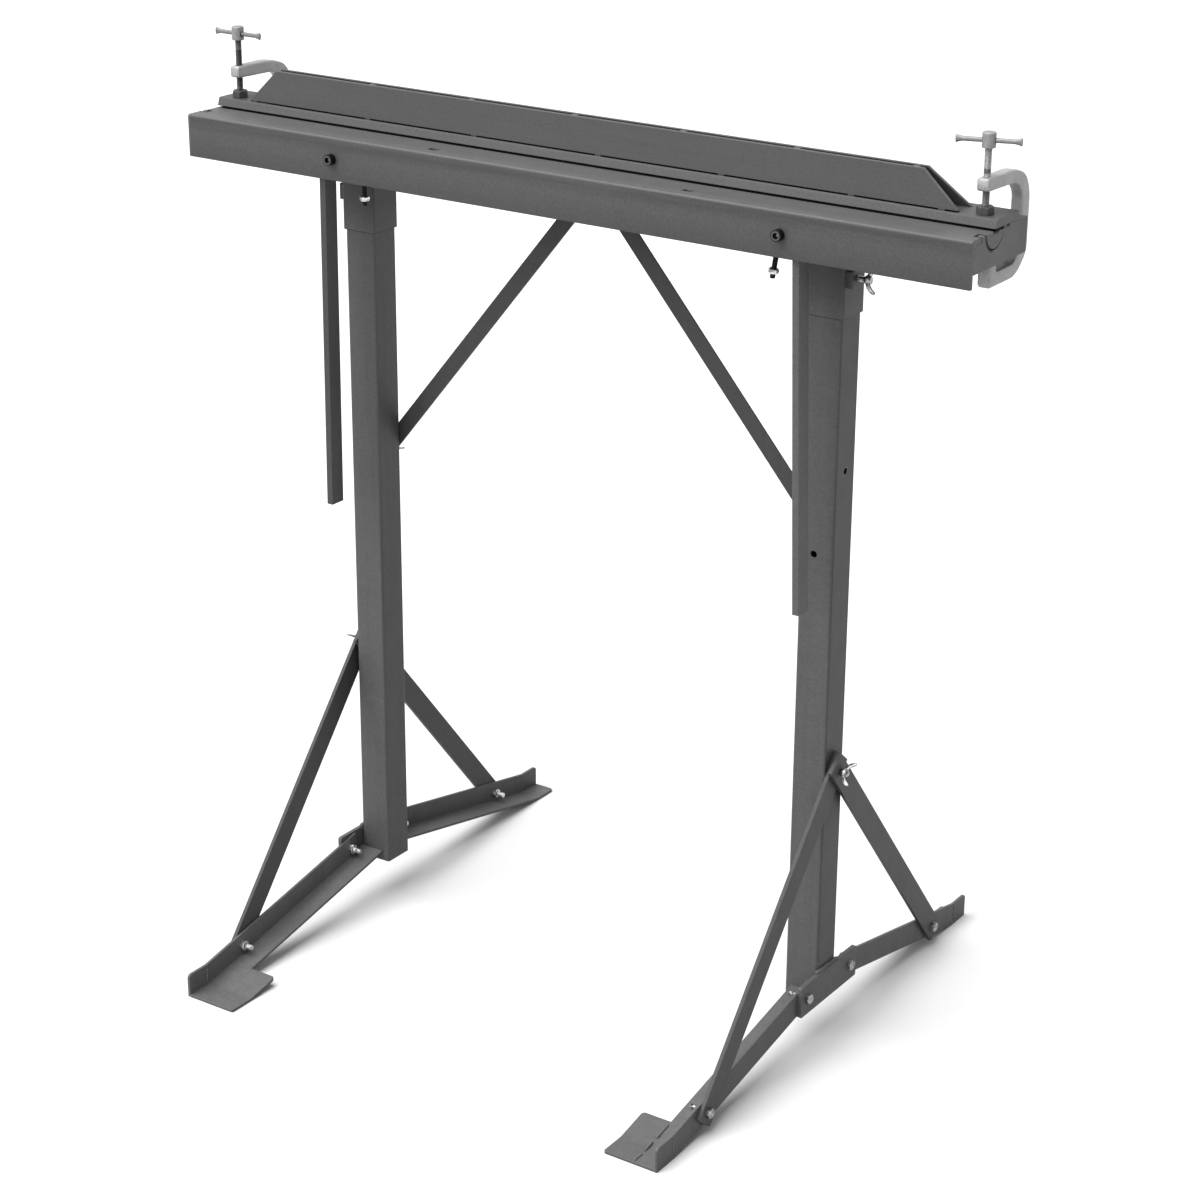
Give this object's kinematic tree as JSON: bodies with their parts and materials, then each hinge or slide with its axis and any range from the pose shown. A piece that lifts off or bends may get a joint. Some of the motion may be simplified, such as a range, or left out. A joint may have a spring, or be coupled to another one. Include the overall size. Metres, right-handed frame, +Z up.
{
  "type": "sheet metal folder",
  "caption": "Hand folder for sheet metal on a knock-down stand: hinged folding leaf with handles, stiffened clamp bar and a screw clamp at each end.",
  "frame": {"origin": "on the floor, in the middle of the stand", "axes": "+X along the bed to the right as the user stands, +Y from the front to the back, +Z up"},
  "size_m": [1.04, 0.708, 1.0795],
  "materials": {
    "paint": "satin dark grey enamel, slightly uneven",
    "casting": "light grey satin casting",
    "steel": "oily threaded steel",
    "zinc": "bright zinc plating",
    "blacked": "black oxide"
  },
  "bodies": {
    "root": {"bed": "paint", "end_plate_left": "paint", "end_plate_right": "paint", "brace_tab": "paint", "clamp_frame_left": "casting", "clamp_frame_right": "casting", "leg_left": "paint", "leg_right": "paint", "collar_left": "paint", "collar_right": "paint", "base_bracket_left": "paint", "base_bracket_right": "paint", "bracket_bolts": "zinc", "bracket_nuts": "zinc", "foot_front_left": "paint", "foot_front_right": "paint", "foot_rear_left": "paint", "foot_rear_right": "paint", "foot_pad_left": "paint", "foot_pad_right": "paint", "foot_bolts": "zinc", "foot_nuts": "zinc", "strut_front_left": "paint", "strut_front_right": "paint", "strut_rear_left": "paint", "strut_rear_right": "paint", "strut_studs": "zinc", "brace_left": "paint", "brace_right": "paint", "brace_studs": "zinc", "tab_bolts": "zinc", "tab_nuts": "zinc"},
    "leaf": {"leaf": "paint", "hinge_lug_left": "paint", "hinge_lug_right": "paint", "handle_left": "paint", "handle_right": "paint", "handle_carrier_left": "paint", "handle_carrier_right": "paint", "cap_screws": "blacked", "stop_bolts": "blacked", "stop_nuts": "zinc"},
    "clamp_bar": {"clamp_bar": "paint", "stiffener_front": "paint", "stiffener_rear": "paint", "bar_nut_left": "paint", "bar_nut_right": "paint"},
    "clamp_screw_left": {"clamp_screw_left": "steel", "screw_hub_left": "casting"},
    "clamp_screw_right": {"clamp_screw_right": "steel", "screw_hub_right": "casting"},
    "cross_bar_left": {"cross_bar_left": "casting"},
    "cross_bar_right": {"cross_bar_right": "casting"},
    "wing_screw": {"wing_screw": "zinc"},
    "strut_wing_left": {"strut_wing_left": "zinc"},
    "strut_wing_right": {"strut_wing_right": "zinc"},
    "brace_wing_left": {"brace_wing_left": "zinc"},
    "brace_wing_right": {"brace_wing_right": "zinc"}
  },
  "joints": [
    {"name": "leaf_swing", "type": "hinge", "parent": "root", "child": "leaf", "pos_m": [0, -0.035, 0.98603], "axis": [-1, 0, 0], "range_deg": [0, 95]},
    {"name": "bar_lift", "type": "slide", "parent": "root", "child": "clamp_bar", "axis": [0, 0, 1], "range_m": [0, 0.012]},
    {"name": "screw_turn_left", "type": "hinge", "parent": "clamp_bar", "child": "clamp_screw_left", "pos_m": [-0.487, -0.0175, 0.99653], "axis": [0, 0, 1], "range_deg": [0, 3062]},
    {"name": "screw_turn_right", "type": "hinge", "parent": "clamp_bar", "child": "clamp_screw_right", "pos_m": [0.487, -0.0175, 0.99653], "axis": [0, 0, 1], "range_deg": [0, 3062]},
    {"name": "cross_slide_left", "type": "slide", "parent": "clamp_screw_left", "child": "cross_bar_left", "axis": [1, 0, 0], "range_m": [-0.0194, 0.0184]},
    {"name": "cross_slide_right", "type": "slide", "parent": "clamp_screw_right", "child": "cross_bar_right", "axis": [0.9537, 0.3007, 0], "range_m": [-0.0189, 0.0188]},
    {"name": "wing_screw_turn", "type": "hinge", "parent": "root", "child": "wing_screw", "pos_m": [0.345, -0.005, 0.90453], "axis": [1, 0, 0], "range_deg": [0, 720]},
    {"name": "strut_wing_turn_left", "type": "hinge", "parent": "root", "child": "strut_wing_left", "pos_m": [-0.34, 0, 0.33703], "axis": [-1, 0, 0], "range_deg": [0, 720]},
    {"name": "brace_wing_turn_left", "type": "hinge", "parent": "root", "child": "brace_wing_left", "pos_m": [-0.3104, 0.026, 0.58403], "axis": [0, 1, 0], "range_deg": [0, 720]},
    {"name": "strut_wing_turn_right", "type": "hinge", "parent": "root", "child": "strut_wing_right", "pos_m": [0.34, 0, 0.33703], "axis": [1, 0, 0], "range_deg": [0, 720]},
    {"name": "brace_wing_turn_right", "type": "hinge", "parent": "root", "child": "brace_wing_right", "pos_m": [0.3104, 0.026, 0.58403], "axis": [0, 1, 0], "range_deg": [0, 720]}
  ],
  "couplings": [
    {"joint": "screw_turn_left", "follows": "bar_lift", "rad_per_m": 4453},
    {"joint": "screw_turn_right", "follows": "bar_lift", "rad_per_m": 4453}
  ]
}
